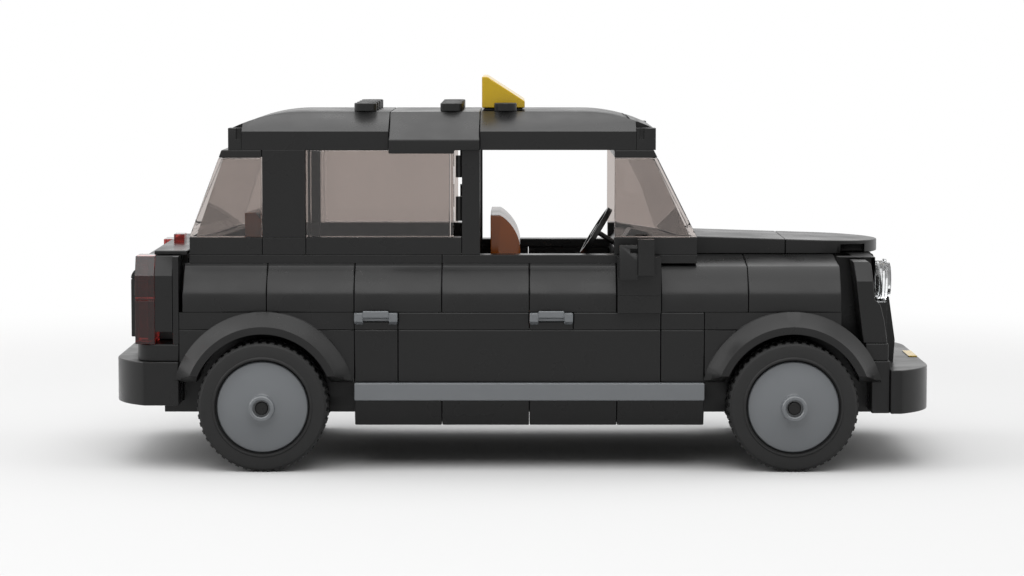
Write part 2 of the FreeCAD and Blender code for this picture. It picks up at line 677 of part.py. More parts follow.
def make_roof_tiles():
    """Slim base under the sign, round tiles across the roof in two rows, and one each side of the sign."""
    body = new_piece("roof_tiles", z=ROOF_TOP)
    half = studs(3) + " - 1"
    pad(body, "z", "0", "dims.sign_base", block(aft("5.9"), "-(%s)" % half, aft("7.7"), half))
    row_y = "(%s + dims.gap + dims.tile_diameter / 2)" % studs(3)
    spots = [(aft(place), row_y, "dims.tile_diameter / 2") for place in ("0.4", "4.4", "6.9")]
    spots += [(aft(place), row_y + " / 3", "dims.tile_diameter / 2") for place in ("0.4", "4.4")]
    tiles = pad(body, "z", "0", plates(1), circles=spots)
    copy_across(body, [tiles])


def make_taxi_sign():
    """Blank yellow wedge on the roof."""
    body = new_piece("taxi_sign", x=aft("5.8"), z="%s + dims.sign_base" % ROOF_TOP)
    length = studs(2)
    rise, lip = "dims.sign_rise - dims.sign_base", "dims.sign_lip - dims.sign_base"
    half = studs(3) + " - dims.gap"
    pad(body, "y", "-(%s)" % half, half, [
        ("0", "0"), (length, "0"), (length, lip), (studs("0.25"), rise), ("0", rise)])


# --- front ---------------------------------------------------------------------------------------

FRONT_TOP = "(%s + dims.bumper_rise)" % FRONT_BUMPER_Z
NOSE_Z = level("9.5")


def make_bonnet():
    """Two slabs that fall gently forward; the front one is round in plan with a slot below its nose."""
    half = studs(3)
    rear = new_piece("bonnet_rear", z=CROWN_Z)
    start, seam = inside(fore("-0.25"), fore(4))
    tip = "(%s + 0.86 * %s)" % (fore(6), half)
    fall = "(dims.bonnet_fall / (%s - %s))" % (tip, start)
    seam_rise = "(dims.bonnet_edge - %s * (%s - %s))" % (fall, seam, start)
    pad(rear, "y", "-" + half, half, [
        (start, "0"), (seam, "0"), (seam, seam_rise), (start, "dims.bonnet_edge")])
    front = new_piece("bonnet_front", z=CROWN_Z)
    start, bend = inside(fore(4), fore(6))
    pad(front, "z", "0", "dims.bonnet_edge", [
        (start, "-" + half), (bend, "-" + half, "dims.bonnet_nose"), (tip, "0", "dims.bonnet_nose"),
        (bend, half), (start, half)])
    over = "dims.bonnet_edge + 1"
    past = "%s + 1" % tip
    cut(front, "y", "-%s - 1" % half, "%s + 1" % half, [
        (start, over), (start, seam_rise), (past, "dims.bonnet_edge - dims.bonnet_fall"), (past, over)])
    for side in SIDES.values():
        start, end = outward(side, "(%s - 1.6 * dims.pitch)" % half, "(%s + 1)" % half)
        cut(front, "z", "-1", plates(1), block(fore("6.6"), start, fore("7.8"), end))


def make_grille():
    """Radiator wall, and a leaning grille between two panels, cut by a ladder of slots."""
    wall = new_piece("radiator_wall", z=level(6))
    back, front = inside(fore(7), fore(8))
    reach = "(%s - dims.gap)" % CHASSIS_Y
    wall_rise = "%s - %s - dims.gap" % (CROWN_Z, level(6))
    pad(wall, "z", "0", wall_rise, block(back, "-" + reach, front, reach))
    for side in SIDES.values():
        start, end = outward(side, "(%s - dims.wall)" % CHASSIS_Y, reach)
        pad(wall, "z", "0", wall_rise, block(fore("6.25") + " + dims.gap", start, back, end))
    grille = new_piece("grille", z=FRONT_TOP)
    half = studs(3)
    seat = front + " + dims.gap"
    rise = "(%s - %s - dims.gap)" % (CROWN_Z, FRONT_TOP)
    pad(grille, "y", "-" + half, half, [
        (seat, "0"), (fore("9.1"), "0"), (fore("9.17"), plates("2.4")), (fore("8.87"), plates("7.6")),
        (fore("8.1"), rise), (seat, rise)])
    lamp_foot = "(%s - dims.lamp_diameter / 2 - %s - dims.gap)" % (level("16.2"), FRONT_TOP)
    for side in SIDES.values():
        pad(grille, "y", *outward(side, half, reach), block(seat, "0", fore("8.55"), lamp_foot))
    slots = []
    for index in range(7):
        foot = "%s + %d * dims.slat" % (plates(1), 2 * index)
        slots.append(block(fore("8.5"), foot, fore("9.3"), "%s + dims.slat" % foot))
    cut(grille, "y", studs("-2.5"), studs("-0.1"), *slots)
    cut(grille, "y", studs("0.1"), studs("2.5"), *slots)


def make_wings():
    """Leaning wing noses with a round brow, and the panels below them."""
    noses = new_piece("wing_noses", z=NOSE_Z)
    top = plates("9.25")
    nose = pad(noses, "y", CHASSIS_Y, BODY_Y, [
        (fore("7.25"), "0"), (fore("8.35"), "0"), (fore("8.2"), plates("2.6")), (fore("8.02"), plates("4.4")),
        (fore("7.76"), plates(5)), (fore("7.62"), plates("8.9")), (fore("7.5"), top), (fore("6.8"), top)])
    foot = "%s + dims.plate + dims.gap - %s" % (FRONT_TOP, NOSE_Z)
    panel = pad(noses, "y", CHASSIS_Y, BODY_Y, block(fore("7.35"), foot, fore("8.4"), "-dims.gap"))
    brow = cut(noses, "x", fore(6), fore(9), [
        ("%s + 1" % BODY_Y, "%s - dims.shoulder - 2" % top), ("%s + 1" % BODY_Y, top + " + 1"),
        ("%s - dims.shoulder / 2 - 0.5" % BODY_Y, top + " + 1")])
    copy_across(noses, [nose, panel, brow])


def make_headlights():
    """Round clear lamps in two steps."""
    lamps = new_piece("headlights", z=level("16.2"))
    radius = "dims.lamp_diameter / 2"
    shoulder = fore("8.75") + " - dims.lamp_bevel"
    steps = (
        (fore(8), fore("8.45"), radius + " - dims.lamp_bevel / 2"),
        (fore("8.45"), shoulder, radius),
        (shoulder, fore("8.75"), radius + " - dims.lamp_bevel"),
    )
    pads = [pad(lamps, "x", seat, face, circles=[(studs("4.1"), "0", reach)]) for seat, face, reach in steps]
    copy_across(lamps, pads)


def make_front_plate():
    """Blank yellow plate lying on the bumper."""
    plate = new_piece("front_plate", z=FRONT_TOP)
    pad(plate, "z", "0", plates("0.5"), block(fore("9.8"), studs("-1.25"), fore("10.45"), studs("1.25")))


def bumper(label, z, wall_x, side_x, face_x):
    """Bumper with a straight face and rounded corners that end at short flat sides."""
    body = new_piece(label, z=z)
    half = "(%s + dims.bumper_proud)" % BODY_Y
    flat = "(%s - dims.bumper_corner)" % half
    deep = "(%s - %s)" % (face_x, side_x)
    bend = "((%s ^ 2 + dims.bumper_corner ^ 2) / (2 * %s))" % (deep, deep)
    pad(body, "z", "0", "dims.bumper_rise", [
        (wall_x, "-" + half), (side_x, "-" + half, bend), (face_x, "-" + flat),
        (face_x, flat, bend), (side_x, half), (wall_x, half)])
    return body


def make_bumpers():
    """Front bumper with its side blocks, and the rear bumper."""
    wall = fore("8.5")
    front = bumper("front_bumper", FRONT_BUMPER_Z, wall, fore(9), fore("10.5"))
    back, side_front = fore("7.65"), "%s - dims.gap" % wall
    for side in SIDES.values():
        start, end = outward(side, CHASSIS_Y, BODY_Y)
        pad(front, "z", "0", "dims.bumper_rise + dims.plate", block(back, start, side_front, end))
    pad(front, "z", "0", "dims.bumper_rise", block(fore(8), studs(-4), wall, studs(4)))
    bumper("rear_bumper", REAR_BUMPER_Z, aft("-8") + " - dims.gap", aft("-9.6"), aft("-11.1"))


# --- rear ----------------------------------------------------------------------------------------

REAR_TOP = "(%s + dims.bumper_rise)" % REAR_BUMPER_Z
STACK_Z = "(%s + 2 * dims.plate)" % REAR_TOP
STACK_RISE = "(%s - %s - dims.gap)" % (LID_Z, STACK_Z)
BODY_END = aft("-8") + " - dims.gap"


def make_rear_corners():
    """Rounded blocks that carry the light columns."""
    body = new_piece("rear_corner_blocks", z=REAR_TOP)
    corner = pad(body, "z", "0", plates(2) + " - dims.gap", [
        (aft(-10), studs(4)), (BODY_END, studs(4)), (BODY_END, BODY_Y),
        (aft(-9), BODY_Y, "dims.pitch"), (aft(-10), "%s - dims.pitch" % BODY_Y)])
    copy_across(body, [corner])


def shoulder_outline(foot):
    """Cross section of a block in the light column, from its foot to a sloping outer shoulder."""
    return [(CHASSIS_Y, foot), (BODY_Y, foot), (BODY_Y, "%s - dims.shoulder" % STACK_RISE),
            ("%s - dims.shoulder / 2" % BODY_Y, STACK_RISE), (CHASSIS_Y, STACK_RISE)]


def make_lights():
    """Two stacked red blocks a side, set against a black surround that is open at its foot."""
    surrounds = new_piece("light_surrounds", z=STACK_Z)
    seat, seam = aft("-9.1"), aft("-8.3")
    frame = pad(surrounds, "x", seat, seam, shoulder_outline(plates("1.4")))
    post = pad(surrounds, "x", seam, BODY_END, block(CHASSIS_Y, "0", BODY_Y, STACK_RISE))
    groove = cut(surrounds, "z", "-1", STACK_RISE + " + 1", block(
        seam, "%s - dims.groove" % BODY_Y, seam + " + 2 * dims.gap", "%s + 1" % BODY_Y))
    copy_across(surrounds, [frame, post, groove])
    lights = new_piece("tail_lights", z=STACK_Z)
    middle = "(%s / 2)" % STACK_RISE
    back = "%s - dims.gap" % seat
    lower = pad(lights, "x", aft(-10), back, block(CHASSIS_Y, "0", BODY_Y, middle + " - dims.gap"))
    upper = pad(lights, "x", aft(-10), back, shoulder_outline(middle))
    copy_across(lights, [lower, upper])
    lamp = new_piece("brake_light", z="%s + dims.lid_rise" % LID_Z)
    pad(lamp, "z", "0", plates(1), block(aft("-8.9"), studs("-0.5"), aft("-8.4"), studs("0.5")))


def make_tailgate():
    """Flat gate with a blank plate carrier in two pieces, and the boot lid."""
    gate = new_piece("tailgate", z=STACK_Z)
    reach = "(%s - dims.gap)" % CHASSIS_Y
    back = aft("-9.6")
    pad(gate, "z", "0", STACK_RISE, block(back, "-" + reach, aft("-8.1"), reach))
    carrier = aft("-10.6")
    split, top = plates("6.8"), plates("8.1")
    pad(gate, "y", studs("-3.5"), studs("3.5"), block(carrier, "0", back, split + " - dims.gap"))
    pad(gate, "y", studs("-3.5"), studs("3.5"), [
        (carrier, split), (back, split), (back, top), (aft("-10.1"), top, studs("0.5"))])
    lid = new_piece("boot_lid", z=LID_Z)
    pad(lid, "z", "0", "dims.lid_rise", block(aft("-9.2"), studs(-6), aft("-7.7"), studs(6)))


# --- inside --------------------------------------------------------------------------------------

def make_seats():
    """Front seat and rear bench, each with a back that rolls forward into the cushion."""
    seat = new_piece("driver_seat", z=level(5))
    half = studs("3.5")
    pad(seat, "y", "-" + half, half, [
        (aft("6.2"), "0"), (aft("9.5"), "0"), (aft("9.5"), plates(5), studs("0.6")), (aft("8.95"), plates(6)),
        (aft("7.6"), plates(6)), (aft("7.6"), plates("14.2"), studs(2)), (aft("6.65"), plates("18.6")),
        (aft("6.2"), plates("18.6"))])
    bench = new_piece("rear_bench", z=level(6))
    half = studs(4)
    pad(bench, "y", "-" + half, half, [
        (aft("-5.4"), "0"), (aft("-2"), "0"), (aft("-2"), plates(5), studs("0.6")), (aft("-2.55"), plates(6)),
        (aft("-4.3"), plates(6)), (aft("-4.3"), plates("14.2"), studs("2.1")), (aft("-4.9"), plates(18)),
        (aft("-5.4"), plates(18))])


def make_dashboard():
    """Block across the cabin with a hood in front of the driver."""
    dash = new_piece("dashboard", z=level(5))
    reach = "(%s - dims.gap)" % CABIN_INNER_Y
    pad(dash, "y", "-" + reach, reach, [
        (fore(-4), "0"), (fore(-2), "0"), (fore(-2), plates(16)), (fore("-3.6"), plates(16)),
        (fore(-4), plates("14.6"))])
    pad(dash, "y", studs(-4), studs("-2.5"), [
        (fore("-3.4"), plates(16)), (fore("-2.3"), plates(16)), (fore("-2.3"), plates("16.8")),
        (fore("-3.1"), plates("17.2"))])


def make_steering_wheel():
    """Three-spoked ring on a column that leans down into the dashboard."""
    body = new_piece("steering_wheel", x=fore("-4.87"), y=studs("-3.25"), z=level("21.7"))
    tilt = math.radians(value("dims.steer_tilt"))
    column = FreeCAD.Vector(math.cos(tilt), 0, -math.sin(tilt))
    top = FreeCAD.Vector(math.sin(tilt), 0, math.cos(tilt))
    body.Placement.Rotation = FreeCAD.Rotation(FreeCAD.Vector(0, -1, 0), column, top, "XYZ")
    outer = "(dims.steer_diameter / 2)"
    inner = "(%s - dims.steer_rim)" % outer
    half = "(dims.steer_rim / 2)"
    hub = "(1.4 * dims.steer_rim)"
    revolve(body, [("-" + half, inner), (half, inner), (half, outer), ("-" + half, outer)])
    pad(body, "y", "-" + half, half, circles=[("0", "0", hub)])
    spoke = "(0.3 * dims.steer_rim)"
    reach = "(%s + 0.3 * dims.steer_rim)" % inner
    pad(body, "y", "-" + spoke, spoke, block("-" + reach, "-" + half, reach, half))
    pad(body, "y", "-" + spoke, spoke, block("-" + half, "-" + reach, half, "0"))
    pad(body, "y", "0", studs("1.18"), circles=[("0", "0", half)])


# --- wheels --------------------------------------------------------------------------------------

def make_wheels():
    """Tyre on a dished wheel disc with a hub ring, turning on its axle end."""
    tread = "(dims.tyre_diameter / 2)"
    rim = "(dims.rim_diameter / 2)"
    hub = "(dims.ring_diameter / 2)"
    bore = "(dims.axle_diameter / 2 + dims.running_gap)"
    for end_name, axle_x in AXLES.items():
        for name, side in SIDES.items():
            def out(distance):
                return "%d * (dims.tyre_face_y + %s)" % (side, distance)

            back = out("-dims.tyre_width")
            shoulder = tread + " - dims.tyre_round"
            tyre = new_piece("tyre_%s_%s" % (end_name, name), x=axle_x, z=AXLE_Z)
            revolve(tyre, [
                (out("-dims.rim_sink"), rim), (out("0"), rim + " + dims.rim_sink"), (out("0"), shoulder),
                (out("-dims.tyre_round"), tread), (out("dims.tyre_round - dims.tyre_width"), tread),
                (back, shoulder), (back, rim)])
            wheel = new_piece("wheel_%s_%s" % (end_name, name), x=axle_x, z=AXLE_Z)
            web = out("-(dims.rim_sink + dims.rim_wall)")
            ring = out("dims.ring_proud")
            mouth = out("dims.ring_proud - dims.pin_sink - 1")
            revolve(wheel, [
                (back, bore), (back, hub), (web, hub), (web, rim + " - dims.rim_wall"),
                (back, rim + " - dims.rim_wall"), (back, rim), (out("-dims.rim_sink"), rim),
                (out("dims.disc_crown"), hub), (ring, hub), (ring, "dims.ring_hole / 2"),
                (mouth, "dims.ring_hole / 2"), (mouth, bore)])


def check_and_export():
    """Refuse a failed object or shape, then write one STEP file to each piece."""
    DOC.recompute()
    failed = [item.Name for item in DOC.Objects if {"Invalid", "Error"} & set(item.State)]
    if failed:
        raise RuntimeError("failed: " + ", ".join(failed))
    bodies = [item for item in DOC.Objects if item.TypeId == "PartDesign::Body"]
    for body in bodies:
        if body.Shape.isNull() or not body.Shape.isValid():
            raise RuntimeError("bad shape: " + body.Label)
    os.makedirs("parts", exist_ok=True)
    for body in bodies:
        body.Shape.exportStep("parts/%s.step" % body.Label)
    print("wrote %d pieces" % len(bodies))


fill_sheet()
make_chassis()
make_floor()
make_axles()
make_sills()
make_side_strips()
make_door_panels()
make_bay_ends()
make_handle_rows()
make_door_handles()
make_belts()
make_mirrors()
make_arches()
make_cabin_sides()
make_side_windows()
make_screens()
make_scuttles()
make_roof()
make_roof_tiles()
make_taxi_sign()
make_bonnet()
make_grille()
make_wings()
make_headlights()
make_front_plate()
make_bumpers()
make_rear_corners()
make_lights()
make_tailgate()
make_seats()
make_dashboard()
make_steering_wheel()
make_wheels()
check_and_export()
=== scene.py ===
"""Brick-built toy taxi cab: bricks, screens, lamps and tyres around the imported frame."""
import json
import math

import bmesh
import bpy
from bpy.props import FloatProperty, FloatVectorProperty, IntProperty, PointerProperty
from mathutils import Matrix, Vector


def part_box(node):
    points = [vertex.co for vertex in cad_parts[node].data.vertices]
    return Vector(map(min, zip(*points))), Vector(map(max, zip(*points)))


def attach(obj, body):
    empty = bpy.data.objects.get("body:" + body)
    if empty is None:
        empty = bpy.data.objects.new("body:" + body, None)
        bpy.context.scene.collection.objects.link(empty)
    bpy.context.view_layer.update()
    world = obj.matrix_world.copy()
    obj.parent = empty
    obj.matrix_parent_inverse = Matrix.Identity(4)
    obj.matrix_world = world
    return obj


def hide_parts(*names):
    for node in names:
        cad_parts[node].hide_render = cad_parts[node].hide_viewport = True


bl_info = {
    "name": "Brick-built taxi cab",
    "version": (1, 0, 0),
    "blender": (4, 5, 0),
    "location": "3D View > Sidebar > Taxi cab",
    "description": "Builds the bricks, screens, lamps and tyres of a toy taxi cab",
    "category": "Object",
}

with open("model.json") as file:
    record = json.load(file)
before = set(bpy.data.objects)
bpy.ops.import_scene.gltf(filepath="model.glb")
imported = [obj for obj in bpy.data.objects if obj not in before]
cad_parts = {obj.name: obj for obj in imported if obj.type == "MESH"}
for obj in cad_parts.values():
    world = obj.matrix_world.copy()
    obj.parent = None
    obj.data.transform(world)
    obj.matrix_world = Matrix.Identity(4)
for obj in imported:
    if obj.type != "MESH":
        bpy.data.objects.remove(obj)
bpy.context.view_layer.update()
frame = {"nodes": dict(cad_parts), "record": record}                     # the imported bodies, nodes, joints and record

MM = 0.001
WHEELS = ("front_right", "front_left", "rear_right", "rear_left")
SMOOTH_BELOW = math.radians(20)       # faces that meet at less than this are one curved surface
SHARP_FROM = math.radians(28)         # moulded edges are eased from this angle up
FLAT_WITHIN = math.radians(0.05)      # triangles that meet at less than this are one flat face
SAME_POINT = 0.001 * MM               # corners nearer than this are one corner
SAME_PLANE = 0.01 * MM                # places nearer than this lie in one plane
SAME_LEVEL = 0.05 * MM                # places nearer than this lie at one height
CLOSE = 0.1 * MM                      # places nearer than this belong to the same edge
BESIDE = 0.5 * MM                     # places nearer than this lie along the same outline


def paint(hex_colour):
    """The linear RGB of an sRGB hex colour."""
    parts = [int(hex_colour[i:i + 2], 16) / 255 for i in (0, 2, 4)]
    return tuple(p / 12.92 if p <= 0.04045 else ((p + 0.055) / 1.055) ** 2.4 for p in parts)


def colour_property(label, hex_colour, text):
    """A colour that the user can change, with its default as a hex value."""
    return FloatVectorProperty(name=label, description=text, subtype="COLOR", size=3,
                               min=0, max=1, default=paint(hex_colour))


def length_property(label, millimetres, text):
    """A length that the user can change, with its default in millimetres."""
    return FloatProperty(name=label, description=text, unit="LENGTH", precision=5,
                         min=0, default=millimetres * MM)


# ---------------------------------------------------------------- what a user would change


class CabColours(bpy.types.PropertyGroup):
    """Colours of the moulded plastics and the rubber."""
    black: colour_property("Black", "161616", "Body bricks")
    dark_grey: colour_property("Dark grey", "65686B", "Wheel covers, side strips and handles")
    yellow: colour_property("Yellow", "BE9C04", "Roof sign and number plate")
    brown: colour_property("Brown", "7F4112", "Seats")
    rubber: colour_property("Rubber", "141414", "Tyres")
    smoke: colour_property("Smoke", "BEB6B2", "Screens and side windows")
    clear: colour_property("Clear", "F4F6F7", "Headlamp lenses")
    red: colour_property("Red", "9A2A24", "Tail lamps and brake lamp")


class CabSizes(bpy.types.PropertyGroup):
    """Sizes of the details that the CAD frame leaves to the looks."""
    ease: length_property("Eased edge", 0.35, "Width of the rounding on a moulded edge")
    teeth: IntProperty(name="Tread blocks", description="Blocks in one row of a tyre's tread",
                       min=12, max=96, default=50)
    tooth_depth: length_property("Tread depth", 0.42, "How far a tread block stands up")
    tooth_gap: length_property("Centre groove", 1.6, "Width of the groove between the two rows")
    lip: length_property("Tyre lip", 0.7, "Width of the ring moulded round the rim seat")
    rib: length_property("Rim of a hollow", 0.5, "Wall left round a hollow in a brick's side")
    plate_edge: length_property("Plate edge", 0.4, "Thickness of the number plate")
    seam: length_property("Arch seam", 0.25, "Depth of the seam between an arch block's two rows")
    flare_slope: length_property("Flare slope", 5.0, "Depth of the sloping part of an arch flare")


class CabStage(bpy.types.PropertyGroup):
    """The studio: camera, floor and lights."""
    focal: FloatProperty(name="Focal length", description="Camera lens on a 36 mm sensor",
                         unit="CAMERA", min=10, max=300, default=110.53)
    eye: FloatVectorProperty(name="Camera place", description="Where the camera stands",
                             subtype="TRANSLATION", unit="LENGTH", size=3,
                             default=(-0.0024, -1.1990, 0.1617))
    pitch: FloatProperty(name="Camera pitch", description="How far the camera looks down",
                         subtype="ANGLE", default=math.radians(4.756))
    yaw: FloatProperty(name="Camera yaw", description="How far the camera turns to the tail",
                       subtype="ANGLE", default=math.radians(0.0772))
    ambient: FloatProperty(name="Ambient light", description="Strength of the studio's soft light",
                           min=0, max=2, default=0.4)
    front_box: FloatProperty(name="Front soft box", description="Brightness of the front soft box",
                             min=0, default=2.7)
    top_box: FloatProperty(name="Top soft box", description="Brightness of the overhead soft box",
                           min=0, default=1.75)
    rear_box: FloatProperty(name="Rear soft box", description="Brightness of the rear soft box",
                            min=0, default=0.25)
    tail_box: FloatProperty(name="Tail soft box", description="Brightness of the box by the tail",
                            min=0, default=2.2)
    nose_box: FloatProperty(name="Nose soft box", description="Brightness of the box by the nose",
                            min=0, default=1.1)


# ---------------------------------------------------------------- finishes


# The colour sockets of a Mix node: its first and second colour, and its result
MIX_A, MIX_B, MIX_OUT = 6, 7, 2


def new_material(name):
    """A node material with only its output, and that output."""
    material = bpy.data.materials.new(name)
    material.use_nodes = True
    tree = material.node_tree
    tree.nodes.clear()
    return material, tree, tree.nodes.new("ShaderNodeOutputMaterial")


def add_node(tree, kind, settings=None, links=None):
    """Adds one node, sets its attributes and inputs, and links sockets of others into it."""
    made = tree.nodes.new(kind)
    for key, value in (settings or {}).items():
        if key in made.inputs:
            made.inputs[key].default_value = value
        else:
            setattr(made, key, value)
    for key, socket in (links or {}).items():
        tree.links.new(socket, made.inputs[key])
    return made


def moulded_abs(name, colour, roughness, specular):
    """Injection-moulded ABS from a polished steel mould: a hard gloss with a faint waviness.

    The wall sinks by a few microns over its inner ribs, so reflections bend softly every 6 mm.
    The polish leaves a haze that is too fine to show, so it is drawn every 0.4 mm. Handling
    dulls the gloss in patches some 15 mm wide.
    """
    material, tree, out = new_material(name)
    place = add_node(tree, "ShaderNodeTexCoord").outputs["Object"]
    sink = add_node(tree, "ShaderNodeTexNoise", {"Scale": 1 / (6 * MM), "Detail": 1.0},
                    {"Vector": place})
    haze = add_node(tree, "ShaderNodeTexNoise", {"Scale": 1 / (0.4 * MM), "Detail": 2.0},
                    {"Vector": place})
    patch = add_node(tree, "ShaderNodeTexNoise", {"Scale": 1 / (15 * MM), "Detail": 3.0},
                     {"Vector": place})
    tone = add_node(tree, "ShaderNodeMix", {"data_type": "RGBA"},
                    {"Factor": patch.outputs["Fac"]})
    tone.inputs[MIX_A].default_value = [c * 0.93 for c in colour] + [1]
    tone.inputs[MIX_B].default_value = [min(1, c * 1.07) for c in colour] + [1]
    dull = add_node(tree, "ShaderNodeMapRange",
                    {"From Min": 0.3, "From Max": 0.7,
                     "To Min": roughness * 0.8, "To Max": roughness * 1.25},
                    {"Value": patch.outputs["Fac"]})
    wave = add_node(tree, "ShaderNodeBump", {"Strength": 0.08, "Distance": 0.15 * MM},
                    {"Height": sink.outputs["Fac"]})
    grain = add_node(tree, "ShaderNodeBump", {"Strength": 0.03, "Distance": 0.02 * MM},
                     {"Height": haze.outputs["Fac"], "Normal": wave.outputs["Normal"]})
    shader = add_node(tree, "ShaderNodeBsdfPrincipled",
                      {"IOR": 1.53, "Specular IOR Level": specular},
                      {"Base Color": tone.outputs[MIX_OUT], "Roughness": dull.outputs["Result"],
                       "Normal": grain.outputs["Normal"]})
    tree.links.new(shader.outputs["BSDF"], out.inputs["Surface"])
    return material


def vulcanised_rubber(name, colour):
    """Vulcanised rubber from a blasted mould: matte, with a fine grain.

    The grain is too fine to show, so it is drawn every 0.3 mm. A waxy bloom greys the rubber in
    patches some 8 mm wide.
    """
    material, tree, out = new_material(name)
    place = add_node(tree, "ShaderNodeTexCoord").outputs["Object"]
    grain = add_node(tree, "ShaderNodeTexNoise", {"Scale": 1 / (0.3 * MM), "Detail": 3.0},
                     {"Vector": place})
    bloom = add_node(tree, "ShaderNodeTexNoise", {"Scale": 1 / (8 * MM), "Detail": 3.0},
                     {"Vector": place})
    tone = add_node(tree, "ShaderNodeMix", {"data_type": "RGBA"},
                    {"Factor": bloom.outputs["Fac"]})
    tone.inputs[MIX_A].default_value = [c * 0.85 for c in colour] + [1]
    tone.inputs[MIX_B].default_value = [c * 1.2 for c in colour] + [1]
    dull = add_node(tree, "ShaderNodeMapRange", {"To Min": 0.5, "To Max": 0.75},
                    {"Value": bloom.outputs["Fac"]})
    bump = add_node(tree, "ShaderNodeBump", {"Strength": 0.15, "Distance": 0.05 * MM},
                    {"Height": grain.outputs["Fac"]})
    shader = add_node(tree, "ShaderNodeBsdfPrincipled",
                      {"IOR": 1.52, "Specular IOR Level": 0.35},
                      {"Base Color": tone.outputs[MIX_OUT], "Roughness": dull.outputs["Result"],
                       "Normal": bump.outputs["Normal"]})
    tree.links.new(shader.outputs["BSDF"], out.inputs["Surface"])
    return material


def moulded_polycarbonate(name, colour, roughness):
    """Injection-moulded polycarbonate, tinted in the mass: clear, with soft flow lines.

    The melt leaves streaks some 9 mm apart along the flow, which bend the reflections and shift
    the tint by a few hundredths.
    """
    material, tree, out = new_material(name)
    place = add_node(tree, "ShaderNodeTexCoord")
    flow = add_node(tree, "ShaderNodeMapping", {"vector_type": "POINT", "Scale": (1, 1, 0.2)},
                    {"Vector": place.outputs["Object"]})
    streak = add_node(tree, "ShaderNodeTexNoise", {"Scale": 1 / (9 * MM), "Detail": 1.0},
                      {"Vector": flow.outputs["Vector"]})
    tone = add_node(tree, "ShaderNodeMix", {"data_type": "RGBA"},
                    {"Factor": streak.outputs["Fac"]})
    tone.inputs[MIX_A].default_value = [c * 0.98 for c in colour] + [1]
    tone.inputs[MIX_B].default_value = [min(1, c * 1.02) for c in colour] + [1]
    bump = add_node(tree, "ShaderNodeBump", {"Strength": 0.03, "Distance": 0.1 * MM},
                    {"Height": streak.outputs["Fac"]})
    shader = add_node(tree, "ShaderNodeBsdfPrincipled",
                      {"IOR": 1.45, "Transmission Weight": 1.0, "Roughness": roughness},
                      {"Base Color": tone.outputs[MIX_OUT], "Normal": bump.outputs["Normal"]})
    tree.links.new(shader.outputs["BSDF"], out.inputs["Surface"])
    return material


def make_finishes(colours):
    """Every finish of the cab, under the name of its material slot."""
    return {
        "black": moulded_abs("Moulded ABS, black", colours.black, 0.3, 0.24),
        "dark_grey": moulded_abs("Moulded ABS, dark grey", colours.dark_grey, 0.16, 0.5),
        "yellow": moulded_abs("Moulded ABS, yellow", colours.yellow, 0.16, 0.35),
        "brown": moulded_abs("Moulded ABS, brown", colours.brown, 0.2, 0.35),
        "tyre": vulcanised_rubber("Vulcanised rubber, black", colours.rubber),
        "smoky": moulded_polycarbonate("Moulded polycarbonate, smoke", colours.smoke, 0.02),
        "clear": moulded_polycarbonate("Moulded polycarbonate, clear", colours.clear, 0.1),
        "red": moulded_polycarbonate("Moulded polycarbonate, red", colours.red, 0.04),
    }


# ---------------------------------------------------------------- making pieces


FINISHES = {}
SLOT_OF = {row["node"]: row["material_slot"] for row in frame["record"]["subparts"]}
BODY_OF = {node: body for body, nodes in frame["record"]["behaviour"]["bodies"].items()
           for node in nodes}

# Groups of CAD nodes whose pieces only need their edges eased
BODY_NODES = (
    "chassis", "cabin_floor", "sills", "side_strips", "door_panel_right", "door_panel_left",
    "bay_end_panels", "handle_rows", "door_handles", "belt_right", "belt_left",
    "mirror_right", "mirror_left", "front_axle", "rear_axle")
CABIN_NODES = (
    "cabin_side_right", "cabin_side_left", "screen_headers", "scuttles", "roof_rear",
    "roof_centre", "roof_front", "roof_corners", "roof_tiles", "taxi_sign")
NOSE_NODES = (
    "bonnet_rear", "bonnet_front", "grille", "wing_noses", "front_bumper")
TAIL_NODES = (
    "rear_bumper", "rear_corner_blocks", "light_surrounds", "tailgate", "boot_lid")
INSIDE_NODES = ("driver_seat", "rear_bench", "dashboard", "steering_wheel")
SCREEN_NODES = ("side_windows", "windscreen", "rear_window")
LAMP_NODES = ("headlights", "tail_lights", "brake_light")


def shade(mesh):
    """Curved surfaces shade smoothly and moulded edges stay crisp."""
    mesh.shade_smooth()
    mesh.set_sharp_from_angle(angle=SMOOTH_BELOW)


def finish_piece(bm, name, node):
    """Turns a bmesh into the piece that stands for a CAD node, with its finish and body."""
    mesh = bpy.data.meshes.new(name)
    bm.to_mesh(mesh)
    bm.free()
    shade(mesh)
    piece = bpy.data.objects.new(name, mesh)
    bpy.context.scene.collection.objects.link(piece)
    piece.data.materials.append(FINISHES[SLOT_OF[node]])
    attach(piece, BODY_OF[node])
    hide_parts(node)


def merged_copy(node):
    """A bmesh copy of a CAD node with its triangles merged back into flat faces."""
    bm = bmesh.new()
    bm.from_mesh(frame["nodes"][node].data)
    bmesh.ops.remove_doubles(bm, verts=bm.verts[:], dist=SAME_POINT)
    bmesh.ops.dissolve_limit(bm, angle_limit=FLAT_WITHIN, verts=bm.verts[:], edges=bm.edges[:])
    return bm


def ease_edges(bm, width):
    """Rounds the sharp moulded edges of a closed shape by the given width."""
    sharp = [e for e in bm.edges if len(e.link_faces) == 2
             and e.calc_face_angle(0) > SHARP_FROM and e.calc_length() > width]
    bmesh.ops.bevel(bm, geom=sharp, offset=width, offset_type="OFFSET", affect="EDGES",
                    segments=2, profile=0.5, material=-1, clamp_overlap=True)


def eased_pieces(nodes, width):
    """Moulds the pieces that stand for a group of CAD nodes, with their edges eased."""
    for node in nodes:
        bm = merged_copy(node)
        ease_edges(bm, width)
        finish_piece(bm, node + ".moulded", node)


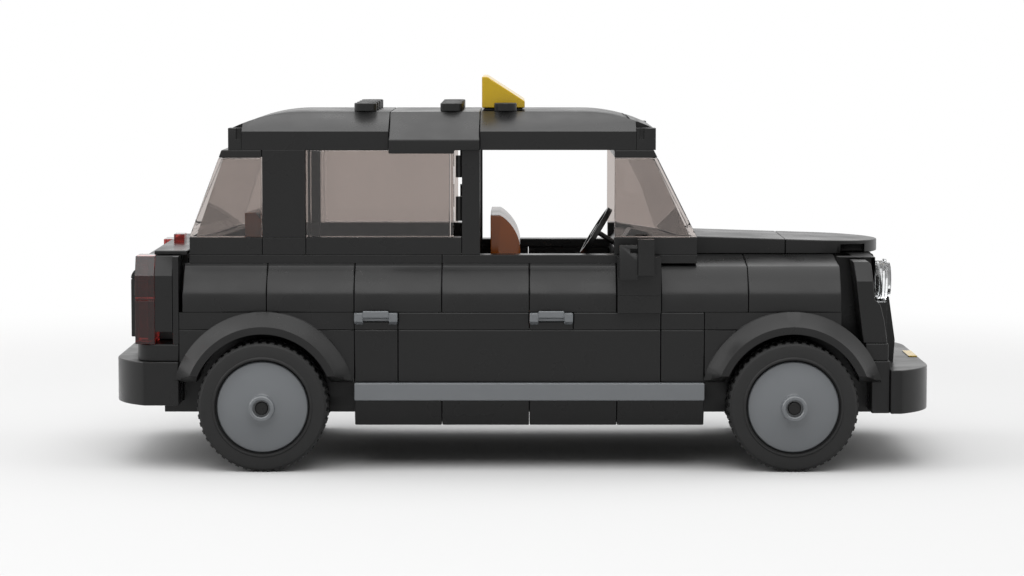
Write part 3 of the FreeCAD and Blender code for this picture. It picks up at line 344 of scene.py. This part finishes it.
def sizes():
    """The sizes that the user has set."""
    return bpy.context.scene.cab_sizes


CHEEK_AREA = 50 * MM ** 2             # side faces of the radiator above this are its cheeks
CHEEK_DEPTH = 6.5 * MM                # depth of the hollow in a cheek
SIDEWAYS = 0.99                       # a face looks sideways when its normal's y is past this


def hollow_radiator():
    """Moulds the radiator block, with its two cheeks hollow towards the wings."""
    node = "radiator_wall"
    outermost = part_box(node)[1].y
    bm = merged_copy(node)
    cheeks = [f for f in bm.faces if abs(f.normal.y) > SIDEWAYS and f.calc_area() > CHEEK_AREA
              and abs(f.calc_center_median().y) > outermost - CLOSE]
    bmesh.ops.inset_individual(bm, faces=cheeks, thickness=sizes().rib, depth=-CHEEK_DEPTH,
                               use_even_offset=True)
    ease_edges(bm, sizes().ease / 2)
    finish_piece(bm, node + ".hollow", node)


PLATE_SETBACK = 1.9 * MM              # how far the number plate's rear edge is drawn forward


def number_plate():
    """Moulds a blank number plate: a thin tile that lies on the bumper's top."""
    node = "front_plate"
    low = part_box(node)[0]
    bm = merged_copy(node)
    for vert in bm.verts:
        if vert.co.z > low.z + CLOSE:
            vert.co.z = low.z + sizes().plate_edge
        if vert.co.x < low.x + CLOSE:
            vert.co.x = low.x + PLATE_SETBACK
    ease_edges(bm, sizes().plate_edge / 3)
    finish_piece(bm, node + ".thin", node)


ARCH_RISE = 0.8 * MM                  # how far an arch's centre lies above the axle
ARCH_GAP = 2.05 * MM                  # gap between a tyre and the well of its arch
FLARE_WIDTH = 7.7 * MM                # from the well to the foot of the flare


def seamed_wall(bm, side, wall_y, level):
    """Cuts a V-shaped seam across the flat wall of an arch block at the given height."""
    depth = sizes().seam
    for height in (level - depth, level, level + depth):
        wall = [f for f in bm.faces
                if all(abs(side * v.co.y - wall_y) < SAME_PLANE for v in f.verts)]
        around = {e for f in wall for e in f.edges} | {v for f in wall for v in f.verts}
        bmesh.ops.bisect_plane(bm, geom=wall + list(around),
                               plane_co=(0, 0, height), plane_no=(0, 0, 1))
    for vert in bm.verts:
        on_wall = abs(side * vert.co.y - wall_y) < SAME_PLANE
        if on_wall and abs(vert.co.z - level) < SAME_PLANE:
            vert.co.y -= side * depth


def flared_arch(place):
    """Moulds a mudguard block whose flare stands square to the body, then slopes to its lip."""
    node = "wheel_arch_" + place
    low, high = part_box(node)
    side = 1 if high.y > 0 else -1
    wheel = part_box("wheel_" + place)
    axle = (wheel[0] + wheel[1]) / 2
    middle = Vector((axle.x, 0, axle.z + ARCH_RISE))
    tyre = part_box("tyre_" + place)
    well = (tyre[1].z - tyre[0].z) / 2 + ARCH_GAP
    foot = well + FLARE_WIDTH
    cut_y = side * (max(abs(low.y), abs(high.y)) - sizes().flare_slope)

    # a ring is cut round the flare and moved out to the foot's radius
    bm = merged_copy(node)
    ring = bmesh.ops.bisect_plane(bm, geom=bm.verts[:] + bm.edges[:] + bm.faces[:],
                                  plane_co=(0, cut_y, 0), plane_no=(0, 1, 0))["geom_cut"]
    outline = [v for v in ring if isinstance(v, bmesh.types.BMVert)
               and (v.co - middle).xz.length > well + BESIDE]
    lowest = min(v.co.z for v in outline)
    for vert in outline:
        if vert.co.x < low.x + BESIDE:
            continue                  # the block's straight rear edge stays
        reach = (vert.co - middle).xz
        if vert.co.z < lowest + SAME_LEVEL:
            reach.x = math.copysign(math.sqrt(foot ** 2 - reach.y ** 2), reach.x)
        else:
            reach *= foot / reach.length
        vert.co.x = middle.x + reach.x
        vert.co.z = middle.z + reach.y

    seamed_wall(bm, side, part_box("handle_rows")[1].y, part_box("handle_rows")[0].z)
    bmesh.ops.recalc_face_normals(bm, faces=bm.faces[:])
    ease_edges(bm, sizes().ease)
    finish_piece(bm, node + ".flared", node)


def turned(section, centre, steps):
    """A closed form turned about a wheel's axle from (radius, distance across) points."""
    bm = bmesh.new()
    points = [bm.verts.new((centre.x, centre.y + across, centre.z + radius))
              for radius, across in section]
    loop = [bm.edges.new((points[i - 1], points[i])) for i in range(len(points))]
    bmesh.ops.spin(bm, geom=points + loop, cent=centre, axis=(0, 1, 0),
                   angle=math.tau, steps=steps, use_merge=True)
    bmesh.ops.recalc_face_normals(bm, faces=bm.faces[:])
    return bm


TURNED_STEPS = 96                     # facets round a wheel cover
BORE = 2.45 * MM                      # radius of the axle's hole in the back of a wheel
RING_IN, RING_OUT = 3.1 * MM, 4.6 * MM    # radii of the hub ring
RING_FLOOR = 2.0 * MM                 # bottom of the hub ring's hole, out from the tyre's face
POCKET = 15.0 * MM                    # radius of the hollow behind the disc
DISC_BACK = 3.1 * MM                  # back of the disc, in from the tyre's face
RIM_EDGE = 1.5 * MM                   # edge of the disc, in from the tyre's face

# The dish from its edge to the hub ring: the radius, and how far out from the tyre's face, in mm
DISH = ((13.6, -0.87), (10.6, -0.25), (7.6, 0.37), (5.4, 0.84), (4.9, 1.05), (4.65, 1.5))


def wheel_cover(name):
    """Turns a dished wheel cover with its hub ring in one smooth sweep."""
    node = "wheel_" + name
    low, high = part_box(node)
    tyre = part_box("tyre_" + name)
    centre = (low + high) / 2
    side = 1 if centre.y > 0 else -1
    face = max(abs(tyre[0].y), abs(tyre[1].y))
    rim = (high.z - low.z) / 2
    deep = face - min(abs(low.y), abs(high.y))
    ring = max(abs(low.y), abs(high.y)) - face
    ease = sizes().ease
    back = [(BORE, -deep), (RING_OUT, -deep), (RING_OUT, -DISC_BACK), (POCKET, -DISC_BACK),
            (POCKET, -deep), (rim, -deep)]
    edge = [(rim, -RIM_EDGE - ease), (rim - ease, -RIM_EDGE + ease / 5)]
    dish = [(radius * MM, out * MM) for radius, out in DISH]
    hub = [(RING_OUT, ring - ease), (RING_OUT - ease, ring), (RING_IN + ease, ring),
           (RING_IN, ring - ease), (RING_IN, RING_FLOOR), (BORE, RING_FLOOR)]
    section = [(radius, side * (face + out) - centre.y)
               for radius, out in back + edge + dish + hub]
    bm = turned(section, centre, TURNED_STEPS)
    finish_piece(bm, node + ".turned", node)


RIM_PLAY = 0.05 * MM                  # gap between a wheel cover's rim and its tyre

# Corners of a tyre's section in mm, with how far each lies inside the tyre's side: the bead
# out from the rim, the lip out from the rim and its own width, the wall in from the tread
BEAD = ((0.0, 2.6), (0.5, 2.4), (0.6, 0.3), (0.85, 0.0))
LIP = ((0.6, 0.0), (1.0, 0.4))
WALL = ((2.4, 0.35), (0.9, 0.6), (0.15, 1.3), (0.0, 2.0))


def tread_tyre(name):
    """Turns a tyre from its section and raises two rows of blocks on its tread."""
    node = "tyre_" + name
    low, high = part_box(node)
    centre = (low + high) / 2
    outer = (high.z - low.z) / 2
    half = (high.y - low.y) / 2
    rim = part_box("wheel_" + name)
    seat = (rim[1].z - rim[0].z) / 2 + RIM_PLAY
    base = outer - sizes().tooth_depth
    groove = sizes().tooth_gap / 2
    side = ([(seat + up * MM, half - inside * MM) for up, inside in BEAD]
            + [(seat + up * MM + sizes().lip, half - inside * MM) for up, inside in LIP]
            + [(base - down * MM, half - inside * MM) for down, inside in WALL]
            + [(base, groove)])
    section = side + [(radius, -across) for radius, across in reversed(side)]
    steps = 2 * sizes().teeth
    bm = turned(section, centre, steps)

    # every second facet of a row is a block, and the two rows are staggered by one
    blocks = []
    for face in bm.faces:
        middle = face.calc_center_median() - centre
        if math.hypot(middle.x, middle.z) > base - CLOSE and abs(middle.y) > groove:
            turn = round((math.atan2(middle.z, middle.x) / math.tau % 1) * steps - 0.5)
            row = 1 if middle.y > 0 else 0
            if (turn + row) % 2 == 0:
                blocks.append(face)
    raised = bmesh.ops.extrude_discrete_faces(bm, faces=blocks)["faces"]
    tops = list({v for f in raised for v in f.verts})
    grow = outer / base
    bmesh.ops.scale(bm, verts=tops, vec=(grow, 1, grow), space=Matrix.Translation(-centre))
    finish_piece(bm, node + ".treaded", node)


# ---------------------------------------------------------------- operators


class CAB_OT_finishes(bpy.types.Operator):
    """Mixes the plastics and the rubber"""
    bl_idname = "cab.finishes"
    bl_label = "Finishes"

    def execute(self, context):
        FINISHES.update(make_finishes(context.scene.cab_colours))
        for node, piece in frame["nodes"].items():
            piece.data.materials.clear()
            piece.data.materials.append(FINISHES[SLOT_OF[node]])
        return {"FINISHED"}


class CAB_OT_body(bpy.types.Operator):
    """Moulds the lower body, its side panels, arches and axles"""
    bl_idname = "cab.body"
    bl_label = "Lower body"

    def execute(self, context):
        eased_pieces(BODY_NODES, sizes().ease)
        for name in WHEELS:
            flared_arch(name)
        return {"FINISHED"}


class CAB_OT_cabin(bpy.types.Operator):
    """Moulds the pillars, the roof, its tiles and the sign"""
    bl_idname = "cab.cabin"
    bl_label = "Cabin and roof"

    def execute(self, context):
        eased_pieces(CABIN_NODES, sizes().ease)
        return {"FINISHED"}


class CAB_OT_nose(bpy.types.Operator):
    """Moulds the bonnet, the radiator, the wings and the front bumper"""
    bl_idname = "cab.nose"
    bl_label = "Nose"

    def execute(self, context):
        eased_pieces(NOSE_NODES, sizes().ease)
        hollow_radiator()
        number_plate()
        return {"FINISHED"}


class CAB_OT_tail(bpy.types.Operator):
    """Moulds the tailgate, the boot lid and the rear bumper"""
    bl_idname = "cab.tail"
    bl_label = "Tail"

    def execute(self, context):
        eased_pieces(TAIL_NODES, sizes().ease)
        return {"FINISHED"}


class CAB_OT_inside(bpy.types.Operator):
    """Moulds the seats, the dashboard and the steering wheel"""
    bl_idname = "cab.inside"
    bl_label = "Inside"

    def execute(self, context):
        eased_pieces(INSIDE_NODES, sizes().ease)
        return {"FINISHED"}


class CAB_OT_screens(bpy.types.Operator):
    """Moulds the windscreen, the rear window and the side windows"""
    bl_idname = "cab.screens"
    bl_label = "Screens"

    def execute(self, context):
        eased_pieces(SCREEN_NODES, sizes().ease)
        return {"FINISHED"}


class CAB_OT_lamps(bpy.types.Operator):
    """Moulds the headlamps, the tail lamps and the brake lamp"""
    bl_idname = "cab.lamps"
    bl_label = "Lamps"

    def execute(self, context):
        eased_pieces(LAMP_NODES, sizes().ease / 3)
        return {"FINISHED"}


class CAB_OT_wheels(bpy.types.Operator):
    """Moulds the wheel covers and turns the treaded tyres"""
    bl_idname = "cab.wheels"
    bl_label = "Wheels and tyres"

    def execute(self, context):
        for name in WHEELS:
            wheel_cover(name)
            tread_tyre(name)
        return {"FINISHED"}


BOX_REACH = 1.6                       # distance of every soft box from the car, in metres

# The soft boxes: name, width and height in metres, rise and turn aside in degrees
SOFT_BOXES = (("front", 1.1, 0.95, 49, 0),
              ("top", 2.0, 1.9, 95, 0),
              ("rear", 1.8, 0.6, 139, 0),
              ("tail", 1.3, 1.3, 86, -54),
              ("nose", 1.3, 1.3, 86, 54))


def soft_box(name, brightness, width, height, rise, aside):
    """A soft box that faces the car.

    Its rise is counted from the near horizon over the zenith, and aside towards the nose.
    """
    lamp = bpy.data.lights.new(name, "AREA")
    lamp.shape = "RECTANGLE"
    lamp.size = width
    lamp.size_y = height
    lamp.energy = brightness * math.pi * width * height
    made = bpy.data.objects.new(name, lamp)
    away = Vector((math.sin(aside), -math.cos(aside) * math.cos(rise),
                   math.cos(aside) * math.sin(rise)))
    made.location = away * BOX_REACH
    made.rotation_euler = away.to_track_quat("Z", "Y").to_euler()
    bpy.context.scene.collection.objects.link(made)


def seen_directly(tree):
    """A factor of 1 for rays that show the studio: the camera's, glossy and through glass."""
    ray = add_node(tree, "ShaderNodeLightPath")
    seen = add_node(tree, "ShaderNodeMath", {"operation": "MAXIMUM"},
                    {0: ray.outputs["Is Camera Ray"], 1: ray.outputs["Is Glossy Ray"]})
    return add_node(tree, "ShaderNodeMath", {"operation": "MAXIMUM"},
                    {0: seen.outputs[0], 1: ray.outputs["Is Transmission Ray"]}).outputs[0]


FLOOR_HALF = 60                       # half the floor's side in metres, past the horizon
PAPER_TONE = 0.61                     # paper tone that comes out white in the open
BOUNCE_TONE = 0.6                     # paper tone for the light that it throws back
PAPER_NEAR, PAPER_FAR = 0.3, 0.65     # metres over which paper passes into the lit backdrop


def studio_paper():
    """Seamless white studio paper: matte, with a faint fibre every 1.5 mm.

    Round the car it keeps the soft shadow, and farther out it passes into the lit backdrop.
    """
    material, tree, out = new_material("Seamless studio paper, white")
    shown = seen_directly(tree)
    place = add_node(tree, "ShaderNodeTexCoord")
    fibre = add_node(tree, "ShaderNodeTexNoise", {"Scale": 1 / (1.5 * MM), "Detail": 2.0},
                     {"Vector": place.outputs["Object"]})
    tone = add_node(tree, "ShaderNodeMix", {"data_type": "RGBA"}, {"Factor": shown})
    tone.inputs[MIX_A].default_value = [BOUNCE_TONE] * 3 + [1]
    tone.inputs[MIX_B].default_value = [PAPER_TONE] * 3 + [1]
    bump = add_node(tree, "ShaderNodeBump", {"Strength": 0.02, "Distance": 0.02 * MM},
                    {"Height": fibre.outputs["Fac"]})
    paper = add_node(tree, "ShaderNodeBsdfDiffuse", None,
                     {"Color": tone.outputs[MIX_OUT], "Normal": bump.outputs["Normal"]})
    reach = add_node(tree, "ShaderNodeVectorMath", {"operation": "LENGTH"},
                     {0: place.outputs["Object"]})
    beyond = add_node(tree, "ShaderNodeMapRange",
                      {"interpolation_type": "SMOOTHSTEP",
                       "From Min": PAPER_NEAR, "From Max": PAPER_FAR},
                      {"Value": reach.outputs["Value"]})
    lit = add_node(tree, "ShaderNodeMath", {"operation": "MULTIPLY"},
                   {0: beyond.outputs["Result"], 1: shown})
    glow = add_node(tree, "ShaderNodeEmission", {"Color": (1, 1, 1, 1), "Strength": 1.0})
    mixed = add_node(tree, "ShaderNodeMixShader", None,
                     {0: lit.outputs[0], 1: paper.outputs["BSDF"], 2: glow.outputs[0]})
    tree.links.new(mixed.outputs[0], out.inputs["Surface"])
    return material


class CAB_OT_stage(bpy.types.Operator):
    """Sets the floor, the soft studio light and the camera"""
    bl_idname = "cab.stage"
    bl_label = "Studio"

    def execute(self, context):
        stage = context.scene.cab_stage
        bm = bmesh.new()
        bmesh.ops.create_grid(bm, x_segments=1, y_segments=1, size=FLOOR_HALF)
        mesh = bpy.data.meshes.new("studio_floor")
        bm.to_mesh(mesh)
        bm.free()
        floor = bpy.data.objects.new("studio_floor", mesh)
        context.scene.collection.objects.link(floor)
        mesh.materials.append(studio_paper())

        world = bpy.data.worlds.new("Studio")
        context.scene.world = world
        world.use_nodes = True
        tree = world.node_tree
        tree.nodes.clear()
        out = tree.nodes.new("ShaderNodeOutputWorld")
        soft = add_node(tree, "ShaderNodeBackground",
                        {"Color": (1, 1, 1, 1), "Strength": stage.ambient})
        white = add_node(tree, "ShaderNodeBackground", {"Color": (1, 1, 1, 1), "Strength": 1.0})
        mixed = add_node(tree, "ShaderNodeMixShader", None,
                         {0: seen_directly(tree), 1: soft.outputs[0], 2: white.outputs[0]})
        tree.links.new(mixed.outputs[0], out.inputs["Surface"])

        for name, width, height, rise, aside in SOFT_BOXES:
            soft_box(name + "_soft_box", getattr(stage, name + "_box"), width, height,
                     math.radians(rise), math.radians(aside))

        camera = bpy.data.cameras.new("studio_camera")
        camera.sensor_width = 36
        camera.lens = stage.focal
        camera.clip_start = 0.01
        camera.clip_end = 200
        eye = bpy.data.objects.new("studio_camera", camera)
        eye.location = stage.eye
        eye.rotation_euler = (math.pi / 2 - stage.pitch, 0, stage.yaw)
        context.scene.collection.objects.link(eye)
        context.scene.camera = eye
        context.scene.view_settings.view_transform = "Standard"
        return {"FINISHED"}


class CAB_PT_sidebar(bpy.types.Panel):
    """Lists the steps that build the cab"""
    bl_idname = "CAB_PT_sidebar"
    bl_label = "Taxi cab"
    bl_space_type = "VIEW_3D"
    bl_region_type = "UI"
    bl_category = "Taxi cab"

    def draw(self, context):
        for step in STEPS:
            self.layout.operator(step.bl_idname)
        for group in (context.scene.cab_sizes, context.scene.cab_colours,
                      context.scene.cab_stage):
            box = self.layout.box()
            for key in group.__annotations__:
                box.prop(group, key)


GROUPS = (CabColours, CabSizes, CabStage)
STEPS = (CAB_OT_finishes, CAB_OT_body, CAB_OT_cabin, CAB_OT_nose, CAB_OT_tail, CAB_OT_inside,
         CAB_OT_screens, CAB_OT_lamps, CAB_OT_wheels, CAB_OT_stage)


def register():
    for group in GROUPS + STEPS + (CAB_PT_sidebar,):
        bpy.utils.register_class(group)
    bpy.types.Scene.cab_colours = PointerProperty(type=CabColours)
    bpy.types.Scene.cab_sizes = PointerProperty(type=CabSizes)
    bpy.types.Scene.cab_stage = PointerProperty(type=CabStage)


def unregister():
    del bpy.types.Scene.cab_stage
    del bpy.types.Scene.cab_sizes
    del bpy.types.Scene.cab_colours
    for group in reversed(GROUPS + STEPS + (CAB_PT_sidebar,)):
        bpy.utils.unregister_class(group)


def main():
    register()
    for step in STEPS:
        category, name = step.bl_idname.split(".")
        getattr(getattr(bpy.ops, category), name)()


if __name__ == "__main__":
    main()
